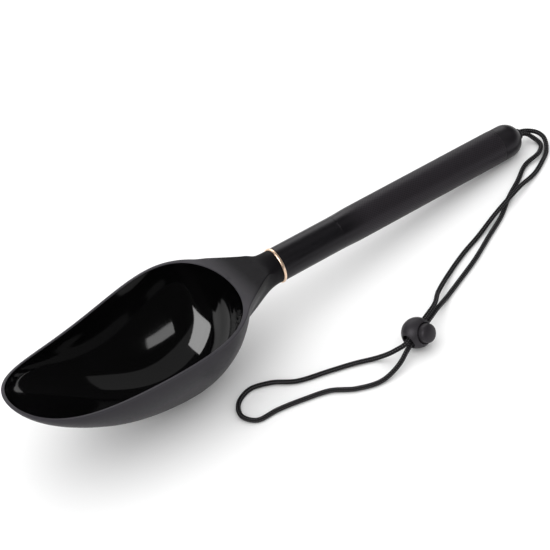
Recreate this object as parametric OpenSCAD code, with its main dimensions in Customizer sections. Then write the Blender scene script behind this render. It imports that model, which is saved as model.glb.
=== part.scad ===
// Long-handled bait and sand scoop: a deep moulded bowl on a round handle with a
// shrink-fit grip, a copper trim ring and an elastic wrist cord with a ball cord lock.
// Frame: millimetres, +Z up, lying on its back on the floor (bowl bottom and butt touch
// z = 0), +X from the bowl's lip towards the butt, origin at the centre of the footprint box.

/* [Bowl] */
// Length of the bowl's opening, front lip to rear edge
bowl_len = 158; // [140:1:175]
// Basic half width of the bowl's opening
bowl_w = 53.5; // [46:0.5:60]
// Basic depth of the bowl under its rim
bowl_d = 48.8; // [42:0.1:54]
// How far the deepest section sits towards the rear
bowl_skew = 0.68; // [0.5:0.01:0.72]
// Wall thickness of the moulding
wall = 2.2; // [1.8:0.1:3]
// Height of the rim over the handle's axis
rim_h = 7.7; // [6:0.1:9]

/* [Neck] */
// Distance from the rear edge of the opening to the end of the neck
neck_len = 38; // [36:1:42]
// Radius of the round end of the neck
neck_r = 11.4; // [11:0.1:11.6]
// Radius of the blind socket in the neck
socket_r = 6.1; // [5:0.1:6.5]
// Depth of the blind socket
socket_depth = 21; // [15:1:22]
// How far the neck's round end stops short of the handle's datum
neck_cut = 2.5; // [0:0.1:3]

/* [Handle] */
// Outer radius of the handle tube
tube_r = 11.6; // [11.4:0.1:11.6]
// Wall of the handle tube
tube_wall = 2; // [1:0.1:2.5]
// Length of the visible handle tube, trim ring to cap
tube_len = 186.5; // [160:0.5:200]
// Thickness of the grip sleeve
sleeve_t = 0.45; // [0.3:0.05:0.8]
// Distance from the trim ring to the front of the sleeve
sleeve_start = 47.5; // [30:0.5:60]
// Width of the copper trim ring
ring_w = 2; // [1.5:0.1:3]
// Outer radius of the copper trim ring
ring_r = 12.3; // [12:0.1:12.6]
// Radius of the cap's dome
cap_r = 11.9; // [11.7:0.1:12]
// Length of the cap's plain band before its dome
cap_band = 8.5; // [6:0.5:12]

/* [Cord] */
// Diameter of the elastic cord
cord_d = 3.2; // [2.8:0.1:3.2]

/* [Cord lock] */
// Radius of the ball
ball_r = 10; // [10:0.5:10.5]
// Radius of the plunger
plunger_r = 6.2; // [6:0.1:6.3]
// Running clearance around the plunger
plunger_gap = 0.08; // [0.05:0.01:0.1]
// Travel of the plunger
travel = 2.8; // [2:0.1:2.8]

/* [Hidden] */

// rest position: the handle axis falls this many degrees towards the butt
tilt = 8.4;
tube_x0 = ring_w - neck_cut;            // front end of the tube
tube_x1 = tube_x0 + tube_len;           // rear end of the tube
stub_x = -neck_cut - socket_depth + 0.5; // front end of the plug
dome_x = tube_x1 + cap_band;            // centre of the dome
nub_x = dome_x + cap_r + 2.2;           // end face of the ferrule
nub_r = 3.9;
axis_h = dome_x * sin(tilt) + cap_r;    // height of the axis at x = 0
lip_x = -neck_len + wall - (bowl_len + 2 * wall);
x_shift = -((lip_x * cos(tilt) + (rim_h - 1.8) * sin(tilt))
          + (nub_x * cos(tilt) + nub_r * sin(tilt))) / 2;

// from the handle's own frame (x on the axis, the neck ends at -neck_cut) to the rest position
module lay() translate([x_shift, 0, axis_h]) rotate([0, tilt, 0]) children();
function lay_p(p) = [x_shift + p[0] * cos(tilt) + p[2] * sin(tilt), p[1],
                     axis_h - p[0] * sin(tilt) + p[2] * cos(tilt)];
module on_axis() rotate([0, 90, 0]) children();

// ---------------------------------------------------------------- scoop surface
nb = 34;      // stations along the bowl
nn = 11;      // stations along the neck
ns = 20;      // steps around the underside
ni = 18;      // steps across the inside
nt = 4;       // steps across the shoulder
nh = 20;      // sides of the socket

function clamp01(u) = min(1, max(0, u));
function sstep(u) = let (v = clamp01(u)) v * v * (3 - 2 * v);
function half_w(t, w) = w * sin(t) * (1 - 0.23 * cos(t) + 0.18 * cos(2 * t));
function rim_z(t) = rim_h - 1.8 * cos(t) - 7.4 * pow(sin(t), 2) * (1 + cos(t));
function deep(t, d) = d * sin(t) * (1 - bowl_skew * cos(t));
function out_x(t) = -neck_len + wall - (bowl_len / 2 + wall) * (1 + cos(t));
// the rear of the bowl is slimmer low on its flanks than a plain ellipse
function slim(x, a) = 1 - 0.078 * sstep((x + 150) / 62) * pow(sin(2 * a), 2);
function in_x(t) = -neck_len - bowl_len / 2 * (1 + cos(t));

// neck sections, x from the bowl to 0
x_round = -2.5;
x_rear = -neck_len + wall;
z_rear = rim_h + 1.8;
function neck_z(x) = sstep((x_round - x) / 13.5) * (8.2 + (z_rear - 8.2) * clamp01((-16 - x) / (-16 - x_rear)));
function neck_b(x) = let (fl = 1.2 + 0.745 * -x, b = 0.5 * (fl + neck_r + sqrt(pow(fl - neck_r, 2) + 9)))
    neck_r + (b - neck_r) * sstep((x_round - x) / 6) - 0.03 * pow(max(0, -44 - x), 2);
function neck_k(x) = neck_r + 4.6 * sstep((x_round - x) / 36);
function neck_d(x) = let (s = max(0, x_round - x))
    neck_r + neck_z(x) + 0.59 * max(0, s - 2) * (1 - exp(-s / 8));
function neck_rise(x) = sqrt(max(0, 1 - pow(neck_z(x) / 8.2, 2))) * neck_r * (1 - sstep((x_round - x) / 13.5)) ;
function rho(a, w, d) = 1 / sqrt(pow(cos(a) / max(w, 0.001), 2) + pow(sin(a) / max(d, 0.001), 2));
function rho_neck(a, x) = rho(a, neck_k(x), neck_d(x))
    + (neck_b(x) - neck_k(x)) * pow(abs(cos(a)), 2.6);
// the larger of two radii with a fillet of about k between them
function soft_max(a, b, k) = let (h = max(k - abs(a - b), 0) / k) max(a, b) + h * h * k / 4;

// floor of the rest position, seen in the handle's frame
function floor_z(x) = (x * sin(tilt) - axis_h) / cos(tilt);
function on_floor(p) = [p[0], p[1], max(p[2], floor_z(p[0]))];

function out_r(i, a) = i <= nb
  ? let (t = 180 * i / nb, x = out_x(t), rb = slim(x, a) * rho(a, half_w(t, bowl_w + 1.2 * wall), deep(t, bowl_d + wall)))
    (x < -70 ? rb : rb + (soft_max(rb, rho_neck(a, x), 6) - rb) * sstep((x + 70) / 15))
  : rho_neck(a, st_x(i));
function st_x(i) = i <= nb ? out_x(180 * i / nb) : -neck_cut + (x_rear + neck_cut) * (1 - (i - nb) / nn);
function st_z(i) = i <= nb ? rim_z(180 * i / nb) : neck_z(st_x(i));

no = nb + nn;                                   // last outer station
function outer_p(i, j) = let (a = 180 * j / ns, r = out_r(i, a))
    on_floor([st_x(i), r * cos(a), st_z(i) - r * sin(a)]);
function polar(a, w, d) = w < 0.001 ? a : atan2(d * sin(a), w * cos(a));
function inner_p(i, j) = let (t = 180 * i / nb, a = 180 * j / ni, w = half_w(t, bowl_w), d = deep(t, bowl_d), f = slim(in_x(t), polar(a, w, d)))
    [in_x(t), f * w * cos(a), rim_z(t) - f * d * sin(a)];
// shoulder and rim strip: k = 0 on the opening or the centre line, k = nt on the outer edge
function top_p(i, k, s) = let (e = outer_p(i, 0), u = sin(90 * k / nt))
    i <= nb ? let (q = inner_p(i, 0)) [q[0] + (e[0] - q[0]) * u, s * (q[1] + (e[1] - q[1]) * u), q[2]]
            : [e[0], s * e[1] * u, st_z(i) + neck_rise(st_x(i)) * cos(90 * k / nt)];

// point index layout
tip_o = 0;                                      // outer pole at the lip
b_out = 1;                                      // outer rows 1..no, ns+1 points each
tip_i = b_out + no * (ns + 1);                  // inner pole at the lip
b_in = tip_i + 1;                               // inner rows 1..nb-1, ni+1 points each
rear_i = b_in + (nb - 1) * (ni + 1);            // inner pole at the rear
b_top = rear_i + 1;                             // strips, rows 1..no, inner points k = 1..nt-1, right then left
b_mid = b_top + 2 * no * (nt - 1);              // centre line rows nb+1..no
b_hole = b_mid + nn;                            // socket mouth, then socket floor
function io(i, j) = i == 0 ? tip_o : b_out + (i - 1) * (ns + 1) + j;
function ii(i, j) = i == 0 ? tip_i : i == nb ? rear_i : b_in + (i - 1) * (ni + 1) + j;
function it(i, k, s) = k == nt ? io(i, s > 0 ? 0 : ns)
    : k == 0 ? (i <= nb ? ii(i, s > 0 ? 0 : ni) : b_mid + (i - nb - 1))
    : i == 0 ? -1 : b_top + ((i - 1) * 2 + (s > 0 ? 0 : 1)) * (nt - 1) + (k - 1);

scoop_pts = concat(
    [outer_p(0, 0)],
    [for (i = [1:no], j = [0:ns]) outer_p(i, j)],
    [inner_p(0, 0)],
    [for (i = [1:nb - 1], j = [0:ni]) inner_p(i, j)],
    [inner_p(nb, 0)],
    [for (i = [1:no], s = [1, -1], k = [1:nt - 1]) top_p(i, k, s)],
    [for (i = [nb + 1:no]) top_p(i, 0, 1)],
    [for (j = [0:nh - 1]) [-neck_cut, socket_r * cos(360 * j / nh), socket_r * sin(360 * j / nh)]],
    [for (j = [0:nh - 1]) [-neck_cut - socket_depth, socket_r * cos(360 * j / nh), socket_r * sin(360 * j / nh)]]);

function tri(a, b, c) = (a == b || b == c || a == c) ? [] : [[a, b, c]];
function quad(a, b, c, d) = concat(tri(a, b, c), tri(a, c, d));
function flat1(l) = [for (a = l) each a];

// the neck's end face: outer loop (underside from +y to -y, then over the top back to +y)
end_loop = concat([for (j = [0:ns]) io(no, j)],
                  [for (k = [nt - 1:-1:1]) it(no, k, -1)], [b_mid + nn - 1],
                  [for (k = [1:nt - 1]) it(no, k, 1)]);
ne = len(end_loop);
function ang_of(p) = let (q = atan2(p[2], p[1])) q > 0.001 ? q - 360 : q;
// match each rim point of the face with the nearest socket point by angle (both run downwards from +y)
function hole_i(a) = (nh - round(-a / 360 * nh)) % nh;
end_faces = [for (e = [0:ne - 1])
    let (p = end_loop[e], q = end_loop[(e + 1) % ne],
         ha = hole_i(e == 0 ? 0 : ang_of(scoop_pts[p])),
         hb = e == ne - 1 ? 0 : hole_i(ang_of(scoop_pts[q])),
         st = (ha - hb + nh) % nh)
    each concat([[p, q, b_hole + hb]],
        [for (m = [0:1:st - 1]) [p, b_hole + (hb + m) % nh, b_hole + (hb + m + 1) % nh]])];

scoop_faces = concat(
    flat1([for (i = [0:no - 1], j = [0:ns - 1]) quad(io(i, j), io(i, j + 1), io(i + 1, j + 1), io(i + 1, j))]),
    flat1([for (i = [0:nb - 1], j = [0:ni - 1]) quad(ii(i, j), ii(i + 1, j), ii(i + 1, j + 1), ii(i, j + 1))]),
    flat1([for (i = [1:no - 1], k = [0:nt - 1]) quad(it(i, k, 1), it(i, k + 1, 1), it(i + 1, k + 1, 1), it(i + 1, k, 1))]),
    flat1([for (i = [1:no - 1], k = [0:nt - 1]) quad(it(i, k, -1), it(i + 1, k, -1), it(i + 1, k + 1, -1), it(i, k + 1, -1))]),
    // lip: fan from the two poles to the first row
    [[tip_i, tip_o, it(1, nt, 1)]], [for (k = [0:nt - 1]) [tip_i, it(1, k + 1, 1), it(1, k, 1)]],
    [[tip_o, tip_i, it(1, nt, -1)]], [for (k = [0:nt - 1]) [tip_i, it(1, k, -1), it(1, k + 1, -1)]],
    end_faces,
    flat1([for (j = [0:nh - 1]) quad(b_hole + j, b_hole + nh + j, b_hole + nh + (j + 1) % nh, b_hole + (j + 1) % nh)]),
    [for (j = [1:nh - 2]) [b_hole + nh, b_hole + nh + j + 1, b_hole + nh + j]]);

module scoop() color("#2b2a2d") lay() polyhedron(scoop_pts, scoop_faces, convexity = 6);

// ---------------------------------------------------------------- handle
// turned plug: front stub in the neck's socket, rear collar in the tube
module neck_spigot() color("#9a9da3") lay() on_axis() rotate_extrude($fn = 64)
    polygon([[0, stub_x], [5, stub_x], [5.8, stub_x + 1], [5.8, tube_x0],
             [tube_r - tube_wall, tube_x0], [tube_r - tube_wall, tube_x0 + 19], [tube_r - tube_wall - 1, tube_x0 + 20],
             [4, tube_x0 + 20], [4, tube_x0 + 6], [0, tube_x0 + 6]]);

module trim_ring() color("#c98f6b") lay() on_axis() rotate_extrude($fn = 96)
    translate([0, -neck_cut]) polygon([[5.85, 0], [ring_r - 0.4, 0], [ring_r, 0.5], [ring_r, ring_w - 0.5], [ring_r - 0.4, ring_w], [5.85, ring_w]]);

module handle_tube() color("#1c1c1e") lay() on_axis() rotate_extrude($fn = 96)
    polygon([[tube_r - tube_wall, tube_x0], [tube_r, tube_x0], [tube_r, tube_x1], [tube_r - tube_wall, tube_x1]]);

module grip_sleeve() color("#242326") lay() on_axis() rotate_extrude($fn = 96)
    polygon([[tube_r, tube_x0 + sleeve_start], [tube_r + 0.15, tube_x0 + sleeve_start],
             [tube_r + sleeve_t, tube_x0 + sleeve_start + 3], [tube_r + sleeve_t, tube_x1 - 0.4],
             [tube_r + sleeve_t - 0.15, tube_x1], [tube_r, tube_x1]]);

// cap: plug in the tube, band and dome outside, hollow for the knot
plug_r = tube_r - tube_wall - 0.05;
cav_r = 7.6;
seat_x = dome_x - 2;
module end_cap() color("#161618") lay() on_axis() rotate_extrude($fn = 96)
    polygon(concat([[cav_r, tube_x1 - 14], [plug_r - 0.6, tube_x1 - 14], [plug_r, tube_x1 - 13.4], [plug_r, tube_x1], [cap_r, tube_x1]],
        [for (a = [0:5:65]) [cap_r * cos(a), dome_x + cap_r * sin(a)]],
        [[4.3, dome_x + cap_r * sin(acos(4.3 / cap_r))], [4.3, seat_x], [cav_r, seat_x]]));

// ferrule: flange inside the cap, barrel through the dome, rounded end outside, two cord holes
cord_r = cord_d / 2;
cord_y = 1.65;
module cord_ferrule() color("#3a393c") lay() difference() {
    on_axis() rotate_extrude($fn = 64)
        polygon([[0, seat_x - 2], [6.4, seat_x - 2], [6.4, seat_x], [4.2, seat_x], [4.2, dome_x + cap_r + 0.4],
                 [nub_r + 0.1, dome_x + cap_r + 1.4], [nub_r, nub_x], [0, nub_x]]);
    for (s = [-1, 1]) translate([seat_x - 3, s * cord_y, 0]) on_axis() cylinder(r = cord_r + 0.1, h = 30, $fn = 40);
    translate([seat_x - 3, -cord_y, -cord_r - 0.1]) cube([30, 2 * cord_y, 2 * cord_r + 0.2]);
}

knot_x = seat_x - 2;                            // the knot bears on the ferrule here
module cord_knot() color("#202022") lay() on_axis() rotate_extrude($fn = 48)
    polygon([[0, knot_x - 11], [3, knot_x - 10.6], [5.4, knot_x - 8.5], [6.2, knot_x - 5.5], [5.6, knot_x - 2.2],
             [4.2, knot_x], [0, knot_x]]);

// ---------------------------------------------------------------- cord lock position
lock_az = 20;                                   // direction of the two strands on the floor
lock_up = 19;                                   // how far the plunger points above the floor
lock_pos = [30.8, -91.3, 10];
u_c = [cos(lock_az), sin(lock_az), 0];
u_s = [-sin(lock_az) * sin(lock_up), cos(lock_az) * sin(lock_up), cos(lock_up)];
strand = 1.75;                                  // half the spacing of the strands in the lock
module at_lock() translate(lock_pos) rotate([90 - lock_up, 0, lock_az]) children();
function in_lock(k, s) = lock_pos + k * u_c + s * strand * u_s;

// ---------------------------------------------------------------- cord route
// out of the knot, round to the lock, round the wrist loop, back through the lock and into the knot
cz = cord_r + 0.1;
route = [lay_p([knot_x, cord_y, 0]), lay_p([nub_x - 1.5, cord_y, 0]), lay_p([nub_x + 0.5, cord_y, 0]),
    [207.84, 0.8, 6.96], [211.86, -3.75, 5.36], [211.97, -10.44, 4.75], [206.82, -19.06, 2.32],
    [193.18, -27.89, cz + 0.05], [186.33, -30.93, cz + 0.08], [166.66, -36.15, 4.4], [152.85, -39.9, 5.2], [139.22, -42.98, 4.4],
    [115.44, -48.83, cz], [103.68, -51.96, cz], [82.49, -60.04, 2.2], [65.61, -70, 5.49],
    in_lock(21.5, 1), in_lock(17, 1), in_lock(-9, 1), in_lock(-11, 1),
    [12.04, -92.89, 10.43], [3.86, -82.37, 2.55], [-8.37, -74.35, cz], [-23.91, -66.8, cz], [-43.53, -57.41, cz], [-57.01, -44.85, cz],
    [-69.86, -39.51, cz], [-80.62, -43.92, cz], [-85.19, -54.05, cz], [-80.58, -63.98, cz], [-66.03, -67.42, cz], [-48.26, -73.61, cz],
    [-33.58, -80.19, cz], [-20.62, -91.97, cz], [-4.87, -99.44, 2.2], [8.08, -99.43, 4.94],
    in_lock(-11, -1), in_lock(-9, -1), in_lock(17, -1), in_lock(21.5, -1),
    [67.2, -75.54, 2.3], [83.37, -69.7, cz], [102.14, -63.07, cz], [122.48, -53.85, cz], [141.28, -45.42, cz], [157.47, -35.19, cz + 0.04],
    [171.31, -28.27, cz + 0.06], [186.34, -20.36, 2.37], [199.66, -19.69, 3.8], [207.28, -11.59, 2.74], [206.88, -5.16, 4.68],
    [204.96, -2.63, 7.38], lay_p([nub_x + 0.5, -cord_y, 0]), lay_p([nub_x - 1.5, -cord_y, 0]), lay_p([knot_x, -cord_y, 0])];
nr = len(route);
function seg(i) = norm(route[i + 1] - route[i]);
// tangent of the smooth curve at each route point
function tan_at(i) = i == 0 ? (route[1] - route[0]) / seg(0)
    : i == nr - 1 ? (route[i] - route[i - 1]) / seg(i - 1)
    : ((route[i] - route[i - 1]) / seg(i - 1) * seg(i) + (route[i + 1] - route[i]) / seg(i) * seg(i - 1)) / (seg(i) + seg(i - 1));
function herm(i, t) = let (d = seg(i), t2 = t * t, t3 = t2 * t)
    (2 * t3 - 3 * t2 + 1) * route[i] + (t3 - 2 * t2 + t) * d * tan_at(i)
    + (-2 * t3 + 3 * t2) * route[i + 1] + (t3 - t2) * d * tan_at(i + 1);
function steps(i) = max(1, round(seg(i) / 9.5));
path = concat([for (i = [0:nr - 2], k = [0:steps(i) - 1]) herm(i, k / steps(i))], [route[nr - 1]]);
np = len(path);
function unit(v) = v / norm(v);
function dir_at(i) = unit(i == 0 ? path[1] - path[0] : i == np - 1 ? path[i] - path[i - 1]
    : unit(path[i] - path[i - 1]) + unit(path[i + 1] - path[i]));
cord_sides = 8;
cord_pts = [for (i = [0:np - 1]) let (t = dir_at(i), s = unit(cross(t, [0, 0, 1])), n = cross(s, t))
    for (j = [0:cord_sides - 1]) path[i] + cord_r * (cos(360 * j / cord_sides + 22.5) * s + sin(360 * j / cord_sides + 22.5) * n)];
cord_faces = concat(
    [for (i = [0:np - 2], j = [0:cord_sides - 1]) let (a = i * cord_sides, b = a + cord_sides, j2 = (j + 1) % cord_sides)
        each [[a + j, b + j, b + j2], [a + j, b + j2, a + j2]]],
    [for (j = [1:cord_sides - 2]) [0, j, j + 1]],
    [for (j = [1:cord_sides - 2]) let (b = (np - 1) * cord_sides) [b, b + j + 1, b + j]]);
module strap_cord() color("#1a1a1c") polyhedron(cord_pts, cord_faces, convexity = 10);

// ---------------------------------------------------------------- cord lock
slot_y = 4.4;                                   // half the plunger slot's length, across the two strands
slot_z = 3.2;                                   // half the plunger slot's width, along the plunger
mouth_y = 5;                                    // half the length of the ball's slot
mouth_z = 3.4;                                  // half the width of the ball's slot
floor_b = -7;                                   // floor of the plunger's bore
module slot(zc, hy, hz) translate([-20, 0, zc]) on_axis() linear_extrude(40) {
    square([2 * hz, 2 * (hy - hz)], center = true);
    for (s = [-1, 1]) translate([0, s * (hy - hz)]) circle(r = hz, $fn = 40);
}
module lock_body() color("#46454a") at_lock() difference() {
    sphere(r = ball_r, $fn = 72);
    translate([0, 0, floor_b]) cylinder(r = plunger_r + plunger_gap, h = 30, $fn = 64);
    translate([0, 0, floor_b - 1.5]) cylinder(r = 3.4, h = 5, $fn = 40);
    slot(-travel / 2, mouth_y, mouth_z);
}
module lock_button() color("#4c4a50") at_lock() difference() {
    rotate_extrude($fn = 64) polygon([[0, -3.8], [plunger_r - 0.3, -3.8], [plunger_r, -3.5], [plunger_r, 9.6],
        [plunger_r - 0.25, 10.6], [plunger_r - 0.9, 11.5], [plunger_r - 2.1, 12.2], [plunger_r - 3.8, 12.7], [0, 12.9]]);
    slot(travel / 2, slot_y, slot_z);
}
sp_r = 2.8;
sp_w = 0.25;
sp_turns = 3;
sp_n = 42;
sp_z0 = floor_b - 1.5 + sp_w + 0.05;
sp_z1 = -3.8 - sp_w - 0.05;
sp_pts = [for (i = [0:sp_n]) let (a = 360 * sp_turns * i / sp_n, c = [sp_r * cos(a), sp_r * sin(a), sp_z0 + (sp_z1 - sp_z0) * i / sp_n],
        r = [cos(a), sin(a), 0]) for (j = [0:5]) c + sp_w * (cos(60 * j) * r + sin(60 * j) * [0, 0, 1])];
sp_faces = concat(
    [for (i = [0:sp_n - 1], j = [0:5]) let (a = i * 6, b = a + 6, j2 = (j + 1) % 6) each [[a + j, b + j, b + j2], [a + j, b + j2, a + j2]]],
    [for (j = [1:4]) [0, j, j + 1]], [for (j = [1:4]) let (b = sp_n * 6) [b, b + j + 1, b + j]]);
module lock_spring() color("#b8bcc2") at_lock() polyhedron(sp_pts, sp_faces, convexity = 6);

scoop();
neck_spigot();
trim_ring();
handle_tube();
grip_sleeve();
end_cap();
cord_ferrule();
cord_knot();
strap_cord();
lock_body();
lock_button();
lock_spring();
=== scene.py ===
import math

import bmesh
import bpy
import numpy as np
from mathutils import Matrix, Quaternion, Vector


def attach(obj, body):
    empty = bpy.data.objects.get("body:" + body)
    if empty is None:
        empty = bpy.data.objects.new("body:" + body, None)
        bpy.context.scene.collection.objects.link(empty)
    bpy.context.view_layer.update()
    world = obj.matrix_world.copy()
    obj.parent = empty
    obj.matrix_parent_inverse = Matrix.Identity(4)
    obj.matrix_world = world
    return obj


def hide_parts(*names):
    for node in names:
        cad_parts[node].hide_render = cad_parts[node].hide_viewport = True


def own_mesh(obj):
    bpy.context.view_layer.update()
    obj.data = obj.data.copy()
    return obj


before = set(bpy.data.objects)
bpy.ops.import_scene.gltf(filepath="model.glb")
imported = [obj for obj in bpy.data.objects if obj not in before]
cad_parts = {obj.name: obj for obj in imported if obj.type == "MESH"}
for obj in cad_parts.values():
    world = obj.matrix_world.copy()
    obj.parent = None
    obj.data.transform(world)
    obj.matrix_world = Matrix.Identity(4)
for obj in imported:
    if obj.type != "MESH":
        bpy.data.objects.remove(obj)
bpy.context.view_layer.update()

scene = bpy.context.scene
MM = 0.001

# ------------------------------------------------------------------ camera
cam_data = bpy.data.cameras.new("camera")
cam = bpy.data.objects.new("camera", cam_data)
scene.collection.objects.link(cam)
cam_data.sensor_width = 36.0
cam_data.lens = 1500.0 / 550.0 * 36.0
cam_data.clip_start, cam_data.clip_end = 0.05, 20.0
right = Vector((0.7883802, -0.5615712, -0.251186))
up = Vector((0.5511386, 0.4633364, 0.6939493))
back = Vector((-0.2733183, -0.6855342, 0.6747888))
cam_m = Matrix.Identity(4)
for r in range(3):
    cam_m[r][0], cam_m[r][1], cam_m[r][2] = right[r], up[r], back[r]
cam_m[0][3], cam_m[1][3], cam_m[2][3] = -0.2775457, -0.6714238, 0.6945892
cam.matrix_world = cam_m
scene.camera = cam

# ------------------------------------------------------------------ the object's own dimensions, in mm
tilt = math.radians(8.4)
CT, ST = math.cos(tilt), math.sin(tilt)
tube_x1, cap_r = 186.0, 11.9
dome_x = tube_x1 + 8.5
nub_x, nub_r = dome_x + cap_r + 2.2, 3.9
seat_x = dome_x - 2
knot_x = seat_x - 2
axis_h = dome_x * ST + cap_r
lip_x = -38 + 2.2 - (158 + 4.4)
x_shift = -((lip_x * CT + (7.7 - 1.8) * ST) + (nub_x * CT + nub_r * ST)) / 2


def lay(p):
    """points in the handle's frame, mm, to the row frame, m"""
    p = np.asarray(p, float)
    return np.stack([x_shift + p[..., 0] * CT + p[..., 2] * ST, p[..., 1],
                     axis_h - p[..., 0] * ST + p[..., 2] * CT], -1) * MM


# ------------------------------------------------------------------ mesh helpers
def new_mesh(name, verts, faces, body, nodes, mats, index=None, weld=0.0, flat=()):
    me = bpy.data.meshes.new(name)
    me.from_pydata([tuple(v) for v in np.asarray(verts, float).tolist()], [], faces)
    for m in mats:
        me.materials.append(m)
    if index is not None:
        me.polygons.foreach_set("material_index", np.asarray(index, np.int32))
    me.polygons.foreach_set("use_smooth", np.ones(len(me.polygons), bool))
    if len(flat):
        for i in flat:
            me.polygons[i].use_smooth = False
    if weld:
        bm = bmesh.new()
        bm.from_mesh(me)
        bmesh.ops.remove_doubles(bm, verts=bm.verts, dist=weld)
        bmesh.ops.dissolve_degenerate(bm, dist=weld / 10, edges=bm.edges)
        bm.to_mesh(me)
        bm.free()
    me.update()
    o = bpy.data.objects.new(name, me)
    scene.collection.objects.link(o)
    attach(o, body)
    if nodes:
        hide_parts(*nodes)
    return o


def set_attr(o, name, values):
    at = o.data.attributes.new(name, "FLOAT", "POINT")
    at.data.foreach_set("value", np.asarray(values, np.float32))


def fillet(profile, radii, steps=5):
    """rounds the corners of a closed or open 2D profile by their radii"""
    out = []
    n = len(profile)
    for i in range(n):
        r = radii[i]
        p = np.array(profile[i], float)
        if r <= 0:
            out.append(p)
            continue
        a = np.array(profile[i - 1], float) - p
        b = np.array(profile[(i + 1) % n], float) - p
        la, lb = np.linalg.norm(a), np.linalg.norm(b)
        a, b = a / la, b / lb
        ang = math.acos(max(-1, min(1, float(a @ b))))
        d = min(r / math.tan(ang / 2), 0.48 * la, 0.48 * lb)
        r2 = d * math.tan(ang / 2)
        c = p + (a + b) / np.linalg.norm(a + b) * (r2 / math.sin(ang / 2))
        s, e = p + a * d - c, p + b * d - c
        for k in range(steps + 1):
            w = k / steps
            th = math.pi - ang
            v = (s * math.sin((1 - w) * th) + e * math.sin(w * th)) / max(math.sin(th), 1e-9)
            out.append(c + v)
    return np.array(out)


def lathe(profile, n):
    """a closed profile of (x along the axis, radius) turned round the handle's axis; returns verts (mm, handle frame), quads"""
    p = np.asarray(profile, float)
    m = len(p)
    th = np.linspace(0, 2 * math.pi, n, endpoint=False)
    v = np.zeros((m, n, 3))
    v[..., 0] = p[:, 0][:, None]
    v[..., 1] = p[:, 1][:, None] * np.cos(th)[None]
    v[..., 2] = p[:, 1][:, None] * np.sin(th)[None]
    faces = []
    for i in range(m):
        i2 = (i + 1) % m
        if p[i, 1] < 1e-6 and p[i2, 1] < 1e-6:
            continue
        for j in range(n):
            j2 = (j + 1) % n
            faces.append((i * n + j, i2 * n + j, i2 * n + j2, i * n + j2))
    return v.reshape(-1, 3), faces


# ------------------------------------------------------------------ node helpers
class Mat:
    def __init__(self, name):
        self.m = bpy.data.materials.new(name)
        self.m.use_nodes = True
        self.t = self.m.node_tree
        self.t.nodes.clear()
        self.out = self.t.nodes.new("ShaderNodeOutputMaterial")
        self.b = self.t.nodes.new("ShaderNodeBsdfPrincipled")
        self.t.links.new(self.b.outputs[0], self.out.inputs[0])
        self.tc = self.t.nodes.new("ShaderNodeTexCoord")

    def node(self, kind, **kw):
        n = self.t.nodes.new(kind)
        for k, v in kw.items():
            setattr(n, k, v)
        return n

    def link(self, a, b):
        self.t.links.new(a, b)

    def val(self, n, name, v):
        n.inputs[name].default_value = v

    def noise(self, scale, detail=2.0, rough=0.5, vec=None, distortion=0.0):
        n = self.node("ShaderNodeTexNoise")
        self.val(n, "Scale", scale)
        self.val(n, "Detail", detail)
        self.val(n, "Roughness", rough)
        self.val(n, "Distortion", distortion)
        self.link(vec if vec is not None else self.tc.outputs["Object"], n.inputs["Vector"])
        return n.outputs["Fac"]

    def stretched(self, sx, sy, sz, rot=(0, 0, 0)):
        mp = self.node("ShaderNodeMapping")
        mp.inputs["Scale"].default_value = (sx, sy, sz)
        mp.inputs["Rotation"].default_value = rot
        self.link(self.tc.outputs["Object"], mp.inputs["Vector"])
        return mp.outputs[0]

    def ramp(self, fac, lo, hi, a, b):
        n = self.node("ShaderNodeMapRange")
        self.val(n, "From Min", lo)
        self.val(n, "From Max", hi)
        self.val(n, "To Min", a)
        self.val(n, "To Max", b)
        self.link(fac, n.inputs["Value"])
        return n.outputs[0]

    def mix(self, fac, c1, c2):
        n = self.node("ShaderNodeMix", data_type="RGBA")
        if hasattr(fac, "is_linked") or hasattr(fac, "node"):
            self.link(fac, n.inputs[0])
        else:
            n.inputs[0].default_value = fac
        for s, c in ((6, c1), (7, c2)):
            if isinstance(c, tuple):
                n.inputs[s].default_value = (*c, 1)
            else:
                self.link(c, n.inputs[s])
        return n.outputs[2]

    def math(self, op, a, b=None):
        n = self.node("ShaderNodeMath", operation=op)
        for i, x in enumerate((a, b)):
            if x is None:
                continue
            if isinstance(x, (int, float)):
                n.inputs[i].default_value = x
            else:
                self.link(x, n.inputs[i])
        return n.outputs[0]

    def attr(self, name):
        n = self.node("ShaderNodeAttribute", attribute_type="GEOMETRY", attribute_name=name)
        return n.outputs["Fac"]

    def bump(self, height, dist, strength=1.0, normal=None):
        n = self.node("ShaderNodeBump")
        self.val(n, "Strength", strength)
        self.val(n, "Distance", dist)
        self.link(height, n.inputs["Height"])
        if normal is not None:
            self.link(normal, n.inputs["Normal"])
        return n.outputs[0]


def gloss_black():
    m = Mat("scoop_gloss")
    big = m.noise(28.0, 2.0)
    fine = m.noise(900.0, 3.0)
    scr = m.noise(1.0, 4.0, 0.6, vec=m.stretched(60, 900, 500, (0, 0, 0.5)))
    m.link(m.mix(big, (0.0010, 0.0010, 0.0011), (0.0022, 0.0021, 0.0024)), m.b.inputs["Base Color"])
    m.link(m.math("ADD", m.ramp(fine, 0.3, 0.75, 0.045, 0.085), m.ramp(scr, 0.62, 0.8, 0.0, 0.05)), m.b.inputs["Roughness"])
    m.link(m.bump(big, 0.00035, 0.6, m.bump(fine, 0.000004, 0.4)), m.b.inputs["Normal"])
    m.val(m.b, "IOR", 1.5)
    return m.m


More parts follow.
